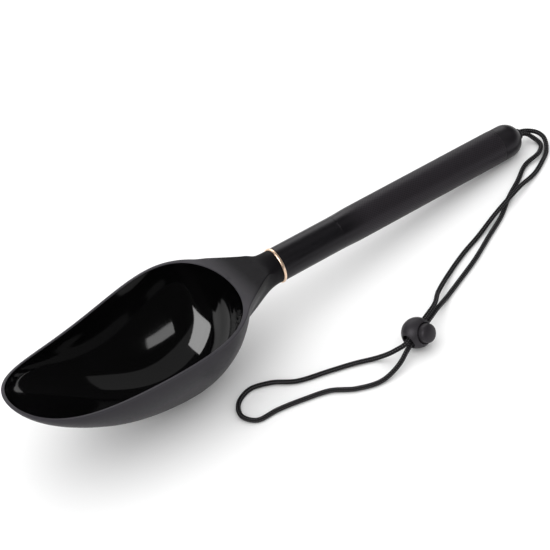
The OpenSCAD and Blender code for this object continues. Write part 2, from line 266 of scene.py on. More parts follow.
def satin_plastic():
    m = Mat("scoop_satin")
    big = m.noise(22.0, 3.0)
    spark = m.noise(2600.0, 3.0, 0.6)
    mid = m.noise(420.0, 4.0, 0.6)
    rim = m.attr("rim")
    base = m.mix(big, (0.0085, 0.0078, 0.0100), (0.0120, 0.0110, 0.0138))
    base = m.mix(m.ramp(mid, 0.35, 0.75, 0.0, 0.35), base, (0.018, 0.017, 0.020))
    # painted highlight: the rounded rim edge and the rim top are painted lighter, as where they catch the light
    base = m.mix(m.math("MULTIPLY", rim, 0.35), base, (0.050, 0.048, 0.055))
    # painted shade: the neck is painted darker and given less specular, so it reads darker as if in shade
    neck = m.attr("neck")
    base = m.mix(neck, base, (0.0045, 0.0042, 0.0050))
    m.link(base, m.b.inputs["Base Color"])
    m.link(m.ramp(neck, 0.0, 1.0, 0.28, 0.08), m.b.inputs["Specular IOR Level"])
    m.link(m.math("ADD", m.ramp(mid, 0.3, 0.7, 0.42, 0.50), m.ramp(spark, 0.3, 0.7, -0.02, 0.03)), m.b.inputs["Roughness"])
    m.link(m.bump(spark, 0.00003, 0.55, m.bump(mid, 0.00002, 0.35)), m.b.inputs["Normal"])
    m.b.inputs["Specular Tint"].default_value = (1.0, 0.95, 1.03, 1.0)
    return m.m


def copper():
    m = Mat("copper")
    blot = m.noise(220.0, 3.0)
    fine = m.noise(1400.0, 2.0)
    m.link(m.mix(m.ramp(blot, 0.35, 0.7, 0.0, 1.0), (1.0, 0.76, 0.58), (0.97, 0.70, 0.51)), m.b.inputs["Base Color"])
    m.val(m.b, "Metallic", 0.9)
    m.link(m.ramp(fine, 0.3, 0.7, 0.27, 0.33), m.b.inputs["Roughness"])
    m.link(m.bump(fine, 0.000003, 0.4), m.b.inputs["Normal"])
    return m.m


def lacquer():
    m = Mat("tube_lacquer")
    big = m.noise(35.0, 2.0)
    draw = m.noise(1.0, 4.0, 0.6, vec=m.stretched(40, 1800, 1800, (0, tilt, 0)))
    fine = m.noise(1500.0, 2.0)
    m.link(m.mix(m.ramp(draw, 0.3, 0.7, 0.0, 1.0), (0.0028, 0.0026, 0.0032), (0.0058, 0.0054, 0.0066)), m.b.inputs["Base Color"])
    m.link(m.ramp(draw, 0.3, 0.7, 0.30, 0.38), m.b.inputs["Roughness"])
    m.link(m.bump(draw, 0.00001, 0.4, m.bump(fine, 0.000006, 0.4, m.bump(big, 0.0001, 0.3))), m.b.inputs["Normal"])
    m.val(m.b, "Specular IOR Level", 0.26)
    m.b.inputs["Specular Tint"].default_value = (1.0, 0.95, 1.02, 1.0)
    return m.m


def shrink():
    m = Mat("grip_shrink")
    h = m.attr("h")
    on = m.attr("fade")
    fine = m.noise(1400.0, 3.0, 0.6)
    big = m.noise(26.0, 3.0)
    # painted shade: the rib valleys are painted darker and the rib crests lighter, following the rib height h
    base = m.mix(m.ramp(h, 0.0, 1.0, 0.0, 1.0), (0.0035, 0.0030, 0.0037), (0.0170, 0.0145, 0.0175))
    base = m.mix(m.ramp(big, 0.35, 0.7, 0.0, 0.4), base, (0.0140, 0.0118, 0.0145))
    base = m.mix(on, (0.0040, 0.0037, 0.0045), base)
    m.link(base, m.b.inputs["Base Color"])
    rough = m.math("ADD", m.ramp(fine, 0.3, 0.7, 0.00, 0.10), m.ramp(h, 0.0, 1.0, 0.05, -0.03))
    m.link(m.math("ADD", m.ramp(on, 0.0, 1.0, 0.31, 0.41), m.math("MULTIPLY", rough, on)), m.b.inputs["Roughness"])
    m.link(m.bump(fine, 0.00002, 0.4), m.b.inputs["Normal"])
    m.val(m.b, "Specular IOR Level", 0.26)
    m.b.inputs["Specular Tint"].default_value = (1.0, 0.93, 1.02, 1.0)
    return m.m


def hard_black(name, c1, c2, r1, r2, fine_scale=1600.0, bump=0.00001, spec=0.27):
    m = Mat(name)
    big = m.noise(60.0, 3.0)
    fine = m.noise(fine_scale, 3.0, 0.6)
    m.link(m.mix(m.ramp(big, 0.3, 0.7, 0.0, 1.0), c1, c2), m.b.inputs["Base Color"])
    m.link(m.ramp(fine, 0.3, 0.7, r1, r2), m.b.inputs["Roughness"])
    m.link(m.bump(fine, bump, 0.5), m.b.inputs["Normal"])
    m.val(m.b, "Specular IOR Level", spec)
    m.b.inputs["Specular Tint"].default_value = (1.0, 0.95, 1.02, 1.0)
    return m.m


def cord_mat():
    m = Mat("elastic_cord")
    h = m.attr("h")
    yarn = m.attr("yarn")
    fibre = m.noise(1.0, 3.0, 0.7, vec=m.stretched(5200, 5200, 5200))
    # painted shade: the braid's valleys are painted darker than its crests, following the braid height h
    base = m.mix(m.ramp(h, 0.15, 0.95, 0.0, 1.0), (0.0008, 0.0007, 0.0008), (0.0052, 0.0047, 0.0054))
    base = m.mix(m.math("MULTIPLY", m.ramp(fibre, 0.45, 0.75, 0.0, 1.0), 0.25), base, (0.0150, 0.0138, 0.0155))
    # light flecks: the braid's own lighter yarn on one set of bundles, shown only on their crests as a painted
    # highlight
    base = m.mix(m.math("MULTIPLY", m.math("MULTIPLY", yarn, m.ramp(h, 0.55, 0.95, 0.0, 1.0)), 0.85), base, (0.0900, 0.0860, 0.0920))
    m.link(base, m.b.inputs["Base Color"])
    m.link(m.ramp(fibre, 0.3, 0.7, 0.62, 0.8), m.b.inputs["Roughness"])
    m.val(m.b, "Specular IOR Level", 0.15)
    m.val(m.b, "Sheen Weight", 0.02)
    m.val(m.b, "Sheen Roughness", 0.4)
    m.link(m.bump(fibre, 0.00003, 0.5), m.b.inputs["Normal"])
    return m.m


def metal(name, c, r):
    m = Mat(name)
    n = m.noise(1.0, 3.0, 0.6, vec=m.stretched(2500, 300, 300, (0, tilt, 0)))
    m.link(m.mix(n, c, tuple(x * 0.8 for x in c)), m.b.inputs["Base Color"])
    m.val(m.b, "Metallic", 1.0)
    m.link(m.ramp(n, 0.3, 0.7, r, r + 0.12), m.b.inputs["Roughness"])
    return m.m


GLOSS, SATIN, COPPER, LACQUER, SHRINK = gloss_black(), satin_plastic(), copper(), lacquer(), shrink()
CAP = hard_black("cap_plastic", (0.0060, 0.0052, 0.0063), (0.0105, 0.0092, 0.0110), 0.34, 0.42, 1300.0, 0.000008)
FERRULE = hard_black("ferrule_plastic", (0.0085, 0.0082, 0.0092), (0.0130, 0.0126, 0.0140), 0.46, 0.56, 2200.0, 0.00002)
LOCK = hard_black("lock_plastic", (0.0125, 0.0112, 0.0132), (0.0175, 0.0160, 0.0185), 0.44, 0.54, 2400.0, 0.000025)
BUTTON = hard_black("lock_button_plastic", (0.0125, 0.0108, 0.0130), (0.0170, 0.0152, 0.0178), 0.44, 0.54, 2400.0, 0.000025)
CORD, STEEL, ALLOY = cord_mat(), metal("spring_steel", (0.62, 0.63, 0.65), 0.2), metal("spigot_alloy", (0.55, 0.56, 0.58), 0.3)

# ------------------------------------------------------------------ cord
cord_d, cord_y = 3.2, 1.65
cz = cord_d / 2 + 0.1
az, lup = math.radians(20), math.radians(19)
lock_pos = np.array([30.8, -91.3, 10.0])
u_c = np.array([math.cos(az), math.sin(az), 0.0])
u_s = np.array([-math.sin(az) * math.sin(lup), math.cos(az) * math.sin(lup), math.cos(lup)])
u_b = np.cross(u_c, u_s)


def L(x, y, z):
    return tuple(lay([x, y, z]) / MM)


def K(k, s):
    return tuple(lock_pos + k * u_c + s * 1.75 * u_s)


route = np.array([
    L(knot_x, cord_y, 0), L(nub_x - 1.5, cord_y, 0), L(nub_x + 0.5, cord_y, 0),
    (207.84, 0.8, 6.96), (211.86, -3.75, 5.36), (211.97, -10.44, 4.75), (206.82, -19.06, 2.32),
    (193.18, -27.89, cz + 0.05), (186.33, -30.93, cz + 0.08), (166.66, -36.15, 4.4), (152.85, -39.9, 5.2), (139.22, -42.98, 4.4),
    (115.44, -48.83, cz), (103.68, -51.96, cz), (82.49, -60.04, 2.2), (65.61, -70, 5.49),
    K(21.5, 1), K(17, 1), K(-9, 1), K(-11, 1),
    (12.04, -92.89, 10.43), (3.86, -82.37, 2.55), (-8.37, -74.35, cz), (-23.91, -66.8, cz), (-43.53, -57.41, cz), (-57.01, -44.85, cz),
    (-69.86, -39.51, cz), (-80.62, -43.92, cz), (-85.19, -54.05, cz), (-80.58, -63.98, cz), (-66.03, -67.42, cz), (-48.26, -73.61, cz),
    (-33.58, -80.19, cz), (-20.62, -91.97, cz), (-4.87, -99.44, 2.2), (8.08, -99.43, 4.94),
    K(-11, -1), K(-9, -1), K(17, -1), K(21.5, -1),
    (67.2, -75.54, 2.3), (83.37, -69.7, cz), (102.14, -63.07, cz), (122.48, -53.85, cz), (141.28, -45.42, cz), (157.47, -35.19, cz + 0.04),
    (171.31, -28.27, cz + 0.06), (186.34, -20.36, 2.37), (199.66, -19.69, 3.8), (207.28, -11.59, 2.74), (206.88, -5.16, 4.68),
    (204.96, -2.63, 7.38), L(nub_x + 0.5, -cord_y, 0), L(nub_x - 1.5, -cord_y, 0), L(knot_x, -cord_y, 0)], float)
nr = len(route)
seg = np.linalg.norm(np.diff(route, axis=0), axis=1)
tang = np.zeros_like(route)
tang[0] = (route[1] - route[0]) / seg[0]
tang[-1] = (route[-1] - route[-2]) / seg[-1]
for i in range(1, nr - 1):
    tang[i] = ((route[i] - route[i - 1]) / seg[i - 1] * seg[i] + (route[i + 1] - route[i]) / seg[i] * seg[i - 1]) / (seg[i] + seg[i - 1])


def herm(i, t):
    d, t2, t3 = seg[i], t * t, t * t * t
    return ((2 * t3 - 3 * t2 + 1)[:, None] * route[i] + ((t3 - 2 * t2 + t) * d)[:, None] * tang[i]
            + (-2 * t3 + 3 * t2)[:, None] * route[i + 1] + ((t3 - t2) * d)[:, None] * tang[i + 1])


dense = np.concatenate([herm(i, np.linspace(0, 1, 60, endpoint=False)) for i in range(nr - 1)] + [route[-1:]])
s_acc = np.concatenate([[0], np.cumsum(np.linalg.norm(np.diff(dense, axis=0), axis=1))])
cord_len = s_acc[-1]
n_ring = 2500
s_new = np.linspace(0, cord_len, n_ring)
line = np.stack([np.interp(s_new, s_acc, dense[:, k]) for k in range(3)], 1)
# light smoothing of the resampled line, ends fixed
for _ in range(6):
    line[1:-1] = 0.25 * line[:-2] + 0.5 * line[1:-1] + 0.25 * line[2:]
tg = np.gradient(line, axis=0)
tg /= np.linalg.norm(tg, axis=1)[:, None]
# parallel transport frame
nrm = np.zeros_like(line)
v0 = np.cross(tg[0], [0, 0, 1.0])
nrm[0] = v0 / np.linalg.norm(v0)
for i in range(1, n_ring):
    v = nrm[i - 1] - tg[i] * (nrm[i - 1] @ tg[i])
    nrm[i] = v / np.linalg.norm(v)
bnm = np.cross(tg, nrm)
n_side = 36
# braid of 6 + 6 yarn bundles over an elastic core
th = np.linspace(0, 2 * math.pi, n_side, endpoint=False)[None, :]
ss = s_new[:, None]
pitch = 9.6  # mm along the cord for one turn of a bundle
ub = 6 * (th / (2 * math.pi) + ss / pitch)
vb = 6 * (th / (2 * math.pi) - ss / pitch)
fu, fv = ub - np.floor(ub), vb - np.floor(vb)
over_u = ((np.floor(ub) + np.floor(vb)).astype(int) % 2) == 0
pu = np.sqrt(np.clip(1 - (2 * fu - 1) ** 2, 0, 1)) * (0.55 + 0.45 * np.sin(math.pi * fv))
pv = np.sqrt(np.clip(1 - (2 * fv - 1) ** 2, 0, 1)) * (0.55 + 0.45 * np.sin(math.pi * fu))
hh = np.where(over_u, pu, pv)
ends = np.clip(np.minimum(s_new, cord_len - s_new) / 3.0, 0, 1)[:, None]
rad = cord_d / 2 - 0.20 + 0.235 * hh
ring = (line[:, None, :] + rad[..., None] * (np.cos(th)[..., None] * nrm[:, None, :] + np.sin(th)[..., None] * bnm[:, None, :]))
cv = ring.reshape(-1, 3)
cf = []
for i in range(n_ring - 1):
    a, b = i * n_side, (i + 1) * n_side
    for j in range(n_side):
        j2 = (j + 1) % n_side
        cf.append((a + j, a + j2, b + j2, b + j))
c0, c1 = len(cv), len(cv) + 1
cv = np.concatenate([cv, line[:1], line[-1:]])
for j in range(n_side):
    cf.append((c0, (j + 1) % n_side, j))
    cf.append((c1, (n_ring - 1) * n_side + j, (n_ring - 1) * n_side + (j + 1) % n_side))
cord = new_mesh("wrist_cord", cv * MM, cf, "root", ["strap_cord"], [CORD])
# h: braid height, also drives the painted shade in the valleys and the painted highlight on the yarn crests
set_attr(cord, "h", np.concatenate([hh.ravel(), [0.5, 0.5]]))
set_attr(cord, "yarn", np.concatenate([over_u.astype(float).ravel(), [0, 0]]))

# ------------------------------------------------------------------ scoop
W0, D0, WALL, SKEW, RIM = 53.5, 48.8, 2.2, 0.68, 7.7
X_REAR = -38 + WALL
Z_REAR = RIM + 1.8
XR = -2.5
NR = 11.4
CUT = 2.5  # the neck stops this far short of the handle's datum


def sstep(u):
    v = np.clip(u, 0, 1)
    return v * v * (3 - 2 * v)


def half_w(t, w):
    return w * np.sin(t) * (1 - 0.23 * np.cos(t) + 0.18 * np.cos(2 * t))


def rim_z(t):
    return RIM - 1.8 * np.cos(t) - 7.4 * np.sin(t) ** 2 * (1 + np.cos(t))


def deep(t, d):
    return d * np.sin(t) * (1 - SKEW * np.cos(t))


def slim(x, a):
    return 1 - 0.078 * sstep((x + 150) / 62) * np.sin(2 * a) ** 2


def out_x(t):
    return X_REAR - (79 + WALL) * (1 + np.cos(t))


def in_x(t):
    return -38 - 79 * (1 + np.cos(t))


def neck_z(x):
    return sstep((XR - x) / 13.5) * (8.2 + (Z_REAR - 8.2) * np.clip((-16 - x) / (-16 - X_REAR), 0, 1))


def neck_b(x):
    fl = 1.2 + 0.745 * -x
    b = 0.5 * (fl + NR + np.sqrt((fl - NR) ** 2 + 9))
    return NR + (b - NR) * sstep((XR - x) / 6) - 0.03 * np.maximum(0, -44 - x) ** 2


def neck_k(x):
    return NR + 4.6 * sstep((XR - x) / 36)


def neck_d(x):
    s = np.maximum(0, XR - x)
    return NR + neck_z(x) + 0.59 * np.maximum(0, s - 2) * (1 - np.exp(-s / 8))


def neck_rise(x):
    return np.sqrt(np.maximum(0, 1 - (neck_z(x) / 8.2) ** 2)) * NR * (1 - sstep((XR - x) / 13.5))


def rho(a, w, d):
    return 1 / np.sqrt((np.cos(a) / np.maximum(w, 0.001)) ** 2 + (np.sin(a) / np.maximum(d, 0.001)) ** 2)


def rho_neck(a, x):
    return rho(a, neck_k(x), neck_d(x)) + (neck_b(x) - neck_k(x)) * np.abs(np.cos(a)) ** 2.6


def soft_max(a, b, k):
    h = np.maximum(k - np.abs(a - b), 0) / k
    return np.maximum(a, b) + h * h * k / 4


def floor_z(x):
    return (x * ST - axis_h) / CT


nb, nn, ns, ni = 190, 64, 96, 90
m_in, m_mid, m_out = 6, 8, 6
tb = np.linspace(0, math.pi, nb + 1)
xn = -CUT + (X_REAR + CUT) * (1 - np.arange(1, nn + 1) / nn)
st_x = np.concatenate([out_x(tb), xn])
st_z = np.concatenate([rim_z(tb), neck_z(xn)])
R_EDGE = 0.5
st_r = np.concatenate([np.full(nb + 1, R_EDGE), R_EDGE * (1 - sstep((xn + 16) / 9))])


def clustered(n):
    u = np.arange(n + 1) / n
    return math.pi * (0.55 * 0.5 * (1 - np.cos(math.pi * u)) + 0.45 * u)


ao, ai = clustered(ns), clustered(ni)


def out_r(i, a):
    x = st_x[i]
    if i <= nb:
        rb = slim(x, a) * rho(a, half_w(tb[i], W0 + 1.2 * WALL), deep(tb[i], D0 + WALL))
        if x < -70:
            return rb
        return rb + (soft_max(rb, rho_neck(a, x), 6) - rb) * sstep((x + 70) / 15)
    return rho_neck(a, x)


sv, sf, smat, srim, sflat = [], [], [], [], []


def add_grid(P, flip, mat, rim, close=False):
    base = sum(len(v) for v in sv)
    m, n = P.shape[:2]
    sv.append(P.reshape(-1, 3))
    srim.append(np.broadcast_to(rim, (m, n)).ravel())
    for i in range(m - 1):
        for j in range(n - 1):
            q = (base + i * n + j, base + i * n + j + 1, base + (i + 1) * n + j + 1, base + (i + 1) * n + j)
            sf.append(q[::-1] if flip else q)
            smat.append(mat)


# outer
O = np.zeros((nb + nn + 1, ns + 1, 3))
rim_o = np.zeros((nb + nn + 1, ns + 1))
for i in range(nb + nn + 1):
    r = out_r(i, ao)
    if i == 0:
        r = r * 0
    h = r * np.sin(ao)
    hd = np.sqrt(h * h + st_r[i] ** 2)
    z = st_z[i] - hd
    O[i] = np.stack([np.full(ns + 1, st_x[i]), r * np.cos(ao), np.maximum(z, floor_z(st_x[i]))], 1)
    # painted highlight mask along the rounded rim edge, weaker on the neck
    rim_o[i] = np.exp(-h / 0.8) * (1 if i <= nb else 0.4)
add_grid(O, False, 1, rim_o)
# inner
I = np.zeros((nb + 1, ni + 1, 3))
for i in range(nb + 1):
    h = deep(tb[i], D0) * np.sin(ai)
    w = half_w(tb[i], W0)
    f = slim(in_x(tb[i]), np.arctan2(h, w * np.cos(ai)))
    if i in (0, nb):
        h, w = h * 0, 0.0
    I[i] = np.stack([np.full(ni + 1, in_x(tb[i])), f * w * np.cos(ai), rim_z(tb[i]) - np.sqrt((f * h) ** 2 + R_EDGE ** 2)], 1)
add_grid(I, True, 0, 0.0)
# rim and shoulder strips
q = I[:, 0].copy()
dq = np.gradient(q[:, :2], axis=0)
nq = np.stack([-dq[:, 1], dq[:, 0]], 1)
nq /= np.maximum(np.linalg.norm(nq, axis=1), 1e-9)[:, None]
nq[0], nq[-1] = (-1, 0), (1, 0)
for i in range(1, nb):
    if nq[i] @ np.array([q[i, 0] + 117.0, q[i, 1]]) < 0:
        nq[i] = -nq[i]
phi = np.linspace(0, math.pi / 2, m_in)
d_in = np.concatenate([R_EDGE * (1 - np.cos(phi))])
drop_in = R_EDGE * (1 - np.sin(phi))
d_out = R_EDGE * (1 - np.cos(np.linspace(math.pi / 2, 0, m_out)))
nk = m_in + m_mid + m_out
T = np.zeros((nb + nn + 1, nk, 3))
rim_t = np.zeros((nb + nn + 1, nk))
for i in range(nb + nn + 1):
    e = O[i, 0]
    zt = st_z[i]
    R = st_r[i]
    if i <= nb:
        base = np.array([q[i, 0], q[i, 1]])
        pin = base[None] + d_in[:, None] * nq[i][None]
        p0 = pin[-1]
        ev = e[:2] - p0
        le = np.linalg.norm(ev)
        ev = ev / le
        so = le - d_out
        sm = np.linspace(0, so[0], m_mid + 2)[1:-1]
        xy = np.concatenate([pin, p0 + sm[:, None] * ev, p0 + so[:, None] * ev])
        drop = np.concatenate([drop_in, np.zeros(m_mid), R - np.sqrt(np.maximum(0, R ** 2 - np.maximum(0, R - d_out) ** 2))])
        T[i] = np.concatenate([xy, (zt - drop)[:, None]], 1)
        dist = np.concatenate([d_in * 0, sm * 0, d_out * 0])
        wloc = le + R_EDGE
        # painted highlight mask on the rim top: full on narrow strips, down to a quarter on the wide shoulder
        rim_t[i] = 1.0 if wloc < 5 else max(0.25, 1.0 - (wloc - 5) / 10)
        rim_t[i, :4] = 1.0
    else:
        ey = e[1]
        so = ey - d_out
        sm = np.linspace(0, so[0], m_in + m_mid + 1)[:-1]
        y = np.concatenate([sm, so])
        dd = ey - y
        drop = np.where(dd < R, R - np.sqrt(np.maximum(0, R ** 2 - np.maximum(0, R - dd) ** 2)), 0) if R > 1e-6 else dd * 0
        u = np.clip(y / ey, 0, 1)
        z = zt + neck_rise(st_x[i]) * np.sqrt(1 - u * u) - drop
        T[i] = np.stack([np.full(nk, st_x[i]), y, z], 1)
        rim_t[i] = 0.0
    T[i, -1] = O[i, 0]
T[0, 0] = I[0, 0]
for i in range(nb + 1):
    T[i, 0] = I[i, 0]
T2 = T.copy()
T2[..., 1] *= -1
add_grid(T, False, 1, rim_t)
add_grid(T2, True, 1, rim_t)
# the neck's end face, socket wall and socket floor
loop = np.concatenate([O[-1], T2[-1, ::-1][1:], T[-1, 1:-1]])
angs = np.arctan2(loop[:, 2], loop[:, 1])
sock = np.stack([np.full(len(loop), -CUT), 6.1 * np.cos(angs), 6.1 * np.sin(angs)], 1)
mouth = sock * np.array([1, 6.5 / 6.1, 6.5 / 6.1])
s1 = sock + np.array([-0.4, 0, 0])
s2 = sock + np.array([-21.0, 0, 0])
cen = np.tile(np.array([[-CUT - 21.0, 0, 0]]), (len(loop), 1))
rows = np.stack([loop, mouth, s1, s2, cen])
rows = np.concatenate([rows, rows[:, :1]], 1)
add_grid(rows, False, 1, 0.0)
sv = np.concatenate(sv)
srim = np.concatenate(srim)
scoop = new_mesh("scoop_shell", lay(sv), sf, "root", ["scoop"], [GLOSS, SATIN], smat)
set_attr(scoop, "rim", srim)
# mask for the painted shade on the neck, rising over x = -39 to -24 mm toward the handle
set_attr(scoop, "neck", sstep((sv[:, 0] + 39) / 15) * (sv[:, 0] < -CUT + 0.01))
bm = bmesh.new()
bm.from_mesh(scoop.data)
bmesh.ops.remove_doubles(bm, verts=bm.verts, dist=1.5e-6)
bmesh.ops.dissolve_degenerate(bm, dist=2e-7, edges=bm.edges)
bmesh.ops.recalc_face_normals(bm, faces=bm.faces)
bm.to_mesh(scoop.data)
bad = sum(1 for e in bm.edges if len(e.link_faces) != 2)
print("scoop edges not shared by two faces:", bad, "faces", len(bm.faces))
bm.free()
me = scoop.data
for p in me.polygons:  # end face and socket
    if all(abs((me.vertices[k].co[0] / MM - x_shift) * CT - (me.vertices[k].co[2] / MM - axis_h) * ST + CUT) < 0.05 for k in p.vertices):
        p.use_smooth = False


# ------------------------------------------------------------------ turned parts on the handle
def turned(name, profile, radii, n, body, nodes, mat, steps=5):
    pr = fillet(profile, radii, steps) if radii is not None else np.asarray(profile)
    v, f = lathe(pr, n)
    o = new_mesh(name, lay(v), f, body, nodes, [mat])
    bm = bmesh.new()
    bm.from_mesh(o.data)
    bmesh.ops.remove_doubles(bm, verts=bm.verts, dist=1e-6)
    bmesh.ops.recalc_face_normals(bm, faces=bm.faces)
    bm.to_mesh(o.data)
    bad = sum(1 for e in bm.edges if len(e.link_faces) != 2)
    if bad:
        print(name, "open edges", bad)
    bm.free()
    return o


ring_o = turned("trim_ring_copper", [(-2.5, 5.85), (-2.5, 12.3), (-0.5, 12.3), (-0.5, 5.85)], [0, 0.75, 0.75, 0], 160, "root",
                ["trim_ring"], COPPER, 8)
tube_o = turned("handle_tube_lacquered", [(-0.5, 9.6), (-0.5, 11.6), (60, 11.6), (150, 11.6), (186, 11.6), (186, 9.6)], [0, 0.35, 0, 0, 0, 0], 160, "root",
                ["handle_tube"], LACQUER)

# grip sleeve: a shrink tube with a fine crossed rib
x0, x1 = 47.0, 186.0
nx, na = 400, 216
xs = np.linspace(x0, x1, nx)
tha = np.linspace(0, 2 * math.pi, na, endpoint=False)
fade = sstep((xs - x0 - 1.5) / 20.0) * sstep((x1 - 0.6 - xs) / 1.2)
n_rib = 34
lead = 2 * math.pi * 12.0 / n_rib
XX, AA = np.meshgrid(xs, tha, indexing="ij")
w1 = 0.5 + 0.5 * np.cos(n_rib * AA + 2 * math.pi * XX / lead)
w2 = 0.5 + 0.5 * np.cos(n_rib * AA - 2 * math.pi * XX / lead)
rib = np.maximum(w1, w2) ** 1.6
base_r = 11.6 + 0.03 + 0.40 * sstep((xs - x0) / 15.0) - 0.13 * sstep((xs - (x1 - 0.5)) / 0.5)
RR = base_r[:, None] + (0.12 * (rib - 0.6)) * fade[:, None]
outer = np.stack([XX, RR * np.cos(AA), RR * np.sin(AA)], -1)
inner = np.stack([XX[[0, -1]], 11.62 * np.cos(AA[[0, -1]]), 11.62 * np.sin(AA[[0, -1]])], -1)
rows = np.concatenate([inner[:1], outer, inner[1:]])
hv = np.concatenate([np.zeros((1, na)), rib * fade[:, None] + 0.6 * (1 - fade[:, None]), np.zeros((1, na))])
gv = rows.reshape(-1, 3)
gf = []
nrow = len(rows)
for i in range(nrow):
    i2 = (i + 1) % nrow
    for j in range(na):
        j2 = (j + 1) % na
        gf.append((i * na + j, i * na + j2, i2 * na + j2, i2 * na + j))
sleeve = new_mesh("grip_sleeve_ribbed", lay(gv), gf, "root", ["grip_sleeve"], [SHRINK])
# h: rib height, also drives the painted shade in the rib valleys
set_attr(sleeve, "h", hv.ravel())
on = sstep((xs - x0 - 1.0) / 24.0)
set_attr(sleeve, "fade", np.concatenate([[0.0], on, [1.0]]).repeat(na))
bm = bmesh.new()
bm.from_mesh(sleeve.data)
bmesh.ops.recalc_face_normals(bm, faces=bm.faces)
bm.to_mesh(sleeve.data)
bm.free()

# end cap: band, shallow groove at the sleeve, dome with a collar round the ferrule
plug_r, cav_r = 9.55, 7.6
dome = [(dome_x + cap_r * math.sin(a), cap_r * math.cos(a)) for a in np.radians(np.arange(0, 66, 3))]
cap_prof = ([(tube_x1 - 14, cav_r), (tube_x1 - 14, plug_r - 0.6), (tube_x1 - 13.4, plug_r), (tube_x1, plug_r), (tube_x1, cap_r - 0.45),
             (tube_x1 + 0.12, cap_r - 0.2), (tube_x1 + 0.45, cap_r)] + dome
            + [(dome_x + cap_r * math.sin(math.acos(4.6 / cap_r)), 4.6), (dome_x + cap_r * math.sin(math.acos(4.6 / cap_r)) - 0.25, 4.32), (seat_x, 4.3), (seat_x, cav_r)])
cap_o = turned("end_cap_domed", cap_prof, None, 160, "root", ["end_cap"], CAP)


# ------------------------------------------------------------------ moulded small parts by boolean and remesh
def tmp_lathe(profile, n):
    """closed solid of revolution round local x, mm"""
    v, f = lathe(profile, n)
    me = bpy.data.meshes.new("tmp")
    me.from_pydata([tuple(p) for p in v.tolist()], [], f)
    bm = bmesh.new()
    bm.from_mesh(me)
    bmesh.ops.remove_doubles(bm, verts=bm.verts, dist=1e-4)
    bmesh.ops.recalc_face_normals(bm, faces=bm.faces)
    bm.to_mesh(me)
    bm.free()
    o = bpy.data.objects.new("tmp", me)
    scene.collection.objects.link(o)
    return o


def stadium(hy, hz, x_a, x_b, zc, n=24):
    """slot of half length hy (y) and half width hz (z), from x_a to x_b, centred on z = zc"""
    pts = []
    for k in range(n + 1):
        a = -math.pi / 2 + math.pi * k / n
        pts.append((hy - hz + hz * math.cos(a), zc + hz * math.sin(a)))
    for k in range(n + 1):
        a = math.pi / 2 + math.pi * k / n
        pts.append((-(hy - hz) + hz * math.cos(a), zc + hz * math.sin(a)))
    m = len(pts)
    v = [(x_a, p[0], p[1]) for p in pts] + [(x_b, p[0], p[1]) for p in pts]
    f = [tuple(range(m))[::-1], tuple(range(m, 2 * m))]
    for k in range(m):
        k2 = (k + 1) % m
        f.append((k, k2, m + k2, m + k))
    me = bpy.data.meshes.new("tmp")
    me.from_pydata(v, [], f)
    bm = bmesh.new()
    bm.from_mesh(me)
    bmesh.ops.remove_doubles(bm, verts=bm.verts, dist=1e-4)
    bmesh.ops.recalc_face_normals(bm, faces=bm.faces)
    bm.to_mesh(me)
    bm.free()
    o = bpy.data.objects.new("tmp", me)
    scene.collection.objects.link(o)
    return o


def carve(o, cutters, voxel, smooth_n, name):
    """boolean cuts, voxel remesh and a little smoothing; returns the final mesh (still in mm)"""
    for c in cutters:
        md = o.modifiers.new("b", "BOOLEAN")
        md.operation, md.solver, md.object = "DIFFERENCE", "EXACT", c
    rm = o.modifiers.new("r", "REMESH")
    rm.mode, rm.voxel_size, rm.adaptivity = "VOXEL", voxel, 0.0
    sm = o.modifiers.new("s", "SMOOTH")
    sm.factor, sm.iterations = 0.5, smooth_n
    bpy.context.view_layer.update()
    dg = bpy.context.evaluated_depsgraph_get()
    me = bpy.data.meshes.new_from_object(o.evaluated_get(dg))
    me.name = name
    for c in [o] + cutters:
        bpy.data.objects.remove(c)
    me.polygons.foreach_set("use_smooth", np.ones(len(me.polygons), bool))
    return me


def place(me, name, matrix, body, nodes, mat):
    me.transform(matrix)
    me.materials.clear()
    me.materials.append(mat)
    me.update()
    o = bpy.data.objects.new(name, me)
    scene.collection.objects.link(o)
    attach(o, body)
    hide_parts(*nodes)
    print(name, "polygons", len(me.polygons))
    return o


lay_m = Matrix(((CT * MM, 0, ST * MM, x_shift * MM), (0, MM, 0, 0), (-ST * MM, 0, CT * MM, axis_h * MM), (0, 0, 0, 1)))
# ferrule
fp = [(seat_x - 2, 0), (seat_x - 2, 6.4), (seat_x, 6.4), (seat_x, 4.2), (dome_x + cap_r + 0.4, 4.2), (dome_x + cap_r + 1.4, nub_r + 0.1),
      (nub_x - 1.1, nub_r), (nub_x - 0.45, nub_r - 0.3), (nub_x - 0.1, nub_r - 0.85), (nub_x, nub_r - 1.4), (nub_x, 0)]
fer = tmp_lathe(fp, 96)
me = carve(fer, [stadium(cord_y + 1.7, 1.7, seat_x - 6, nub_x + 5, 0.0)], 0.12, 3, "ferrule_moulded")
place(me, "ferrule_moulded", lay_m, "root", ["cord_ferrule"], FERRULE)

# cord lock: ball and plunger, local x along the strands, y across them, z out of the ball
lock_m = Matrix(((u_c[0] * MM, u_s[0] * MM, u_b[0] * MM, lock_pos[0] * MM), (u_c[1] * MM, u_s[1] * MM, u_b[1] * MM, lock_pos[1] * MM),
                 (u_c[2] * MM, u_s[2] * MM, u_b[2] * MM, lock_pos[2] * MM), (0, 0, 0, 1)))
z_from_x = Matrix(((0, 1, 0, 0), (0, 0, 1, 0), (1, 0, 0, 0), (0, 0, 0, 1)))  # turned about x -> turned about z


def z_lathe(profile, n=128):
    o = tmp_lathe(profile, n)
    o.data.transform(z_from_x)
    return o


